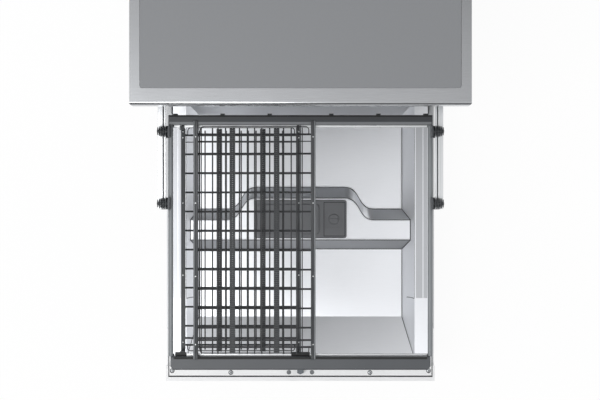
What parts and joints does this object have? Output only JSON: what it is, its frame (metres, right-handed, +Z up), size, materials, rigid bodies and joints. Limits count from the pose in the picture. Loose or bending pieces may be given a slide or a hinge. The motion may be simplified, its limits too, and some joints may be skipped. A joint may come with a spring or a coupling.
{
  "type": "dishwasher",
  "caption": "Free-standing dishwasher with its door open and a third-level rack pulled out, with sliding cutlery trays, two baskets and spray arms.",
  "frame": {"origin": "centre of the bounding box's underside, on the floor under the open door's and the cabinet's common middle", "axes": "+Z up, the door opens towards -Y, +X to the right in a straight-down view with the cabinet's rear at the top"},
  "size_m": [0.6, 1.165, 0.85],
  "materials": {
    "worktop_metal": "satin anodised",
    "worktop_slab": "fine satin grey",
    "cabinet_sheet": "satin silver-grey coat",
    "zinc_sheet": "bare zinc-coated sheet",
    "tub_steel": "bright stainless",
    "rail_steel": "polished stainless",
    "base_plastic": "black moulded plastic",
    "tub_plastic": "grey moulded plastic",
    "seal_rubber": "matt",
    "pump_casing": "cast",
    "connection_plastic": "white moulded plastic",
    "duct_plastic": "grey moulded plastic",
    "rack_plastic": "dark grey moulded plastic",
    "roller_plastic": "dark grey moulded plastic",
    "rack_wire": "dark grey plastic-coated wire",
    "dispenser_plastic": "grey moulded plastic",
    "panel_plastic": "satin silver-grey",
    "striker_steel": "zinc-coated"
  },
  "bodies": {
    "cabinet": {"worktop_frame": "worktop_metal", "worktop_panel": "worktop_slab", "side_panels": "cabinet_sheet", "rear_panel": "zinc_sheet", "base_tray": "base_plastic", "plinth": "base_plastic", "levelling_feet": "base_plastic", "tub_shell": "tub_steel", "tub_floor": "tub_plastic", "tub_gasket": "seal_rubber", "front_crossbar": "zinc_sheet", "door_lock": "base_plastic", "hinge_brackets": "zinc_sheet", "door_springs": "zinc_sheet", "sump": "tub_plastic", "flat_filter": "tub_steel", "softener": "tub_plastic", "circulation_pump": "pump_casing", "drain_pump": "pump_casing", "inlet_valve": "connection_plastic", "drain_outlet": "connection_plastic", "feed_pipe": "duct_plastic", "rail_guides": "base_plastic"},
    "micro_filter": {"micro_filter": "duct_plastic"},
    "salt_cap": {"salt_cap": "duct_plastic"},
    "ceiling_spray_arm": {"ceiling_spray_arm": "duct_plastic"},
    "lower_spray_arm": {"lower_spray_arm": "duct_plastic"},
    "third_rails": {"third_rails": "rail_steel"},
    "third_rack": {"third_back_bar": "rack_plastic", "third_front_bar": "rack_plastic", "third_side_rods": "rack_wire", "third_roller_brackets": "rack_plastic"},
    "third_rollers_rear": {"third_rollers_rear": "roller_plastic"},
    "third_rollers_front": {"third_rollers_front": "roller_plastic"},
    "left_tray": {"left_tray_bars": "rack_wire", "left_tray_net": "rack_wire"},
    "right_tray": {"right_tray_bars": "rack_wire", "right_tray_net": "rack_wire"},
    "upper_rails": {"upper_rails": "rail_steel"},
    "upper_rack": {"upper_basket": "rack_wire", "upper_roller_brackets": "rack_plastic", "upper_feed_tube": "duct_plastic"},
    "upper_rollers_rear": {"upper_rollers_rear": "roller_plastic"},
    "upper_rollers_front": {"upper_rollers_front": "roller_plastic"},
    "upper_spray_arm": {"upper_spray_arm": "duct_plastic"},
    "lower_rack": {"lower_basket": "rack_wire", "wheel_clips": "rack_plastic"},
    "lower_wheels_rear": {"lower_wheels_rear": "roller_plastic"},
    "lower_wheels_front": {"lower_wheels_front": "roller_plastic"},
    "lower_tines": {"lower_tines": "rack_wire"},
    "door": {"door_outer_panel": "cabinet_sheet", "door_liner": "tub_steel", "control_panel": "panel_plastic", "latch_striker": "striker_steel", "dispenser_body": "dispenser_plastic", "hinge_arms": "zinc_sheet"},
    "dispenser_lid": {"dispenser_lid": "dispenser_plastic"},
    "rinse_aid_cap": {"rinse_aid_cap": "dispenser_plastic"},
    "power_button": {"power_button": "panel_plastic"},
    "start_button": {"start_button": "panel_plastic"}
  },
  "joints": [
    {"name": "door_hinge", "type": "hinge", "parent": "cabinet", "child": "door", "pos_m": [0, 0.0375, 0.19], "axis": [-1, 0, 0], "range_deg": [0, 90]},
    {"name": "third_rail_slide", "type": "slide", "parent": "cabinet", "child": "third_rails", "axis": [0, 1, 0], "range_m": [0, 0.25]},
    {"name": "third_rack_slide", "type": "slide", "parent": "third_rails", "child": "third_rack", "axis": [0, 1, 0], "range_m": [0, 0.295]},
    {"name": "third_roller_rear_spin", "type": "hinge", "parent": "third_rack", "child": "third_rollers_rear", "pos_m": [0, -0.058, 0.7448], "axis": [-1, 0, 0], "range_deg": [0, 1611]},
    {"name": "third_roller_front_spin", "type": "hinge", "parent": "third_rack", "child": "third_rollers_front", "pos_m": [0, -0.1897, 0.7448], "axis": [-1, 0, 0], "range_deg": [0, 1611]},
    {"name": "left_tray_slide", "type": "slide", "parent": "third_rack", "child": "left_tray", "axis": [1, 0, 0], "range_m": [0, 0.2]},
    {"name": "right_tray_slide", "type": "slide", "parent": "third_rack", "child": "right_tray", "axis": [1, 0, 0], "range_m": [0, 0.2]},
    {"name": "upper_rack_slide", "type": "slide", "parent": "cabinet", "child": "upper_rack", "axis": [0, 1, 0], "range_m": [-0.44, 0]},
    {"name": "upper_rail_slide", "type": "slide", "parent": "cabinet", "child": "upper_rails", "axis": [0, 1, 0], "range_m": [-0.22, 0]},
    {"name": "upper_roller_rear_spin", "type": "hinge", "parent": "upper_rack", "child": "upper_rollers_rear", "pos_m": [0, 0.4805, 0.6168], "axis": [-1, 0, 0], "range_deg": [-1201, 0]},
    {"name": "upper_roller_front_spin", "type": "hinge", "parent": "upper_rack", "child": "upper_rollers_front", "pos_m": [0, 0.3205, 0.6168], "axis": [-1, 0, 0], "range_deg": [-1201, 0]},
    {"name": "upper_spray_arm_spin", "type": "hinge", "parent": "upper_rack", "child": "upper_spray_arm", "pos_m": [0, 0.29015, 0.4729], "axis": [0, 0, 1], "continuous": true},
    {"name": "ceiling_spray_arm_spin", "type": "hinge", "parent": "cabinet", "child": "ceiling_spray_arm", "pos_m": [0, 0.29015, 0.7494], "axis": [0, 0, 1], "continuous": true},
    {"name": "lower_spray_arm_spin", "type": "hinge", "parent": "cabinet", "child": "lower_spray_arm", "pos_m": [0, 0.29015, 0.1975], "axis": [0, 0, 1], "continuous": true},
    {"name": "lower_rack_slide", "type": "slide", "parent": "cabinet", "child": "lower_rack", "axis": [0, 1, 0], "range_m": [-0.45, 0]},
    {"name": "lower_wheel_rear_spin", "type": "hinge", "parent": "lower_rack", "child": "lower_wheels_rear", "pos_m": [0, 0.4605, 0.2083], "axis": [-1, 0, 0], "range_deg": [-1433, 0]},
    {"name": "lower_wheel_front_spin", "type": "hinge", "parent": "lower_rack", "child": "lower_wheels_front", "pos_m": [0, 0.0988, 0.2083], "axis": [-1, 0, 0], "range_deg": [-1433, 0]},
    {"name": "lower_tines_fold", "type": "hinge", "parent": "lower_rack", "child": "lower_tines", "pos_m": [0, 0.31965, 0.2203], "axis": [1, 0, 0], "range_deg": [0, 90]},
    {"name": "micro_filter_turn", "type": "hinge", "parent": "cabinet", "child": "micro_filter", "pos_m": [0, 0.19748, 0.16], "axis": [0, 0, 1], "range_deg": [0, 45]},
    {"name": "salt_cap_turn", "type": "hinge", "parent": "cabinet", "child": "salt_cap", "pos_m": [-0.165, 0.4175, 0.16], "axis": [0, 0, 1], "range_deg": [0, 180]},
    {"name": "dispenser_lid_slide", "type": "slide", "parent": "door", "child": "dispenser_lid", "axis": [-1, 0, 0], "range_m": [0, 0.06]},
    {"name": "rinse_aid_cap_turn", "type": "hinge", "parent": "door", "child": "rinse_aid_cap", "pos_m": [0.074, -0.2255, 0.184], "axis": [0, 0, 1], "range_deg": [0, 90]},
    {"name": "power_button_press", "type": "slide", "parent": "door", "child": "power_button", "axis": [0, 0, 1], "range_m": [0, 0.0015], "stiffness_N_per_m": 400, "springref_m": -0.001},
    {"name": "start_button_press", "type": "slide", "parent": "door", "child": "start_button", "axis": [0, 0, 1], "range_m": [0, 0.0015], "stiffness_N_per_m": 400, "springref_m": -0.001}
  ],
  "couplings": [
    {"joint": "third_rail_slide", "follows": "door_hinge", "m_per_rad": 0.15915},
    {"joint": "third_rack_slide", "follows": "door_hinge", "m_per_rad": 0.1878},
    {"joint": "third_roller_rear_spin", "follows": "door_hinge", "ratio": 17.886},
    {"joint": "third_roller_front_spin", "follows": "door_hinge", "ratio": 17.886},
    {"joint": "upper_rail_slide", "follows": "upper_rack_slide", "ratio": 0.5},
    {"joint": "upper_roller_rear_spin", "follows": "upper_rack_slide", "rad_per_m": 47.619},
    {"joint": "upper_roller_front_spin", "follows": "upper_rack_slide", "rad_per_m": 47.619},
    {"joint": "lower_wheel_rear_spin", "follows": "lower_rack_slide", "rad_per_m": 55.556},
    {"joint": "lower_wheel_front_spin", "follows": "lower_rack_slide", "rad_per_m": 55.556}
  ]
}
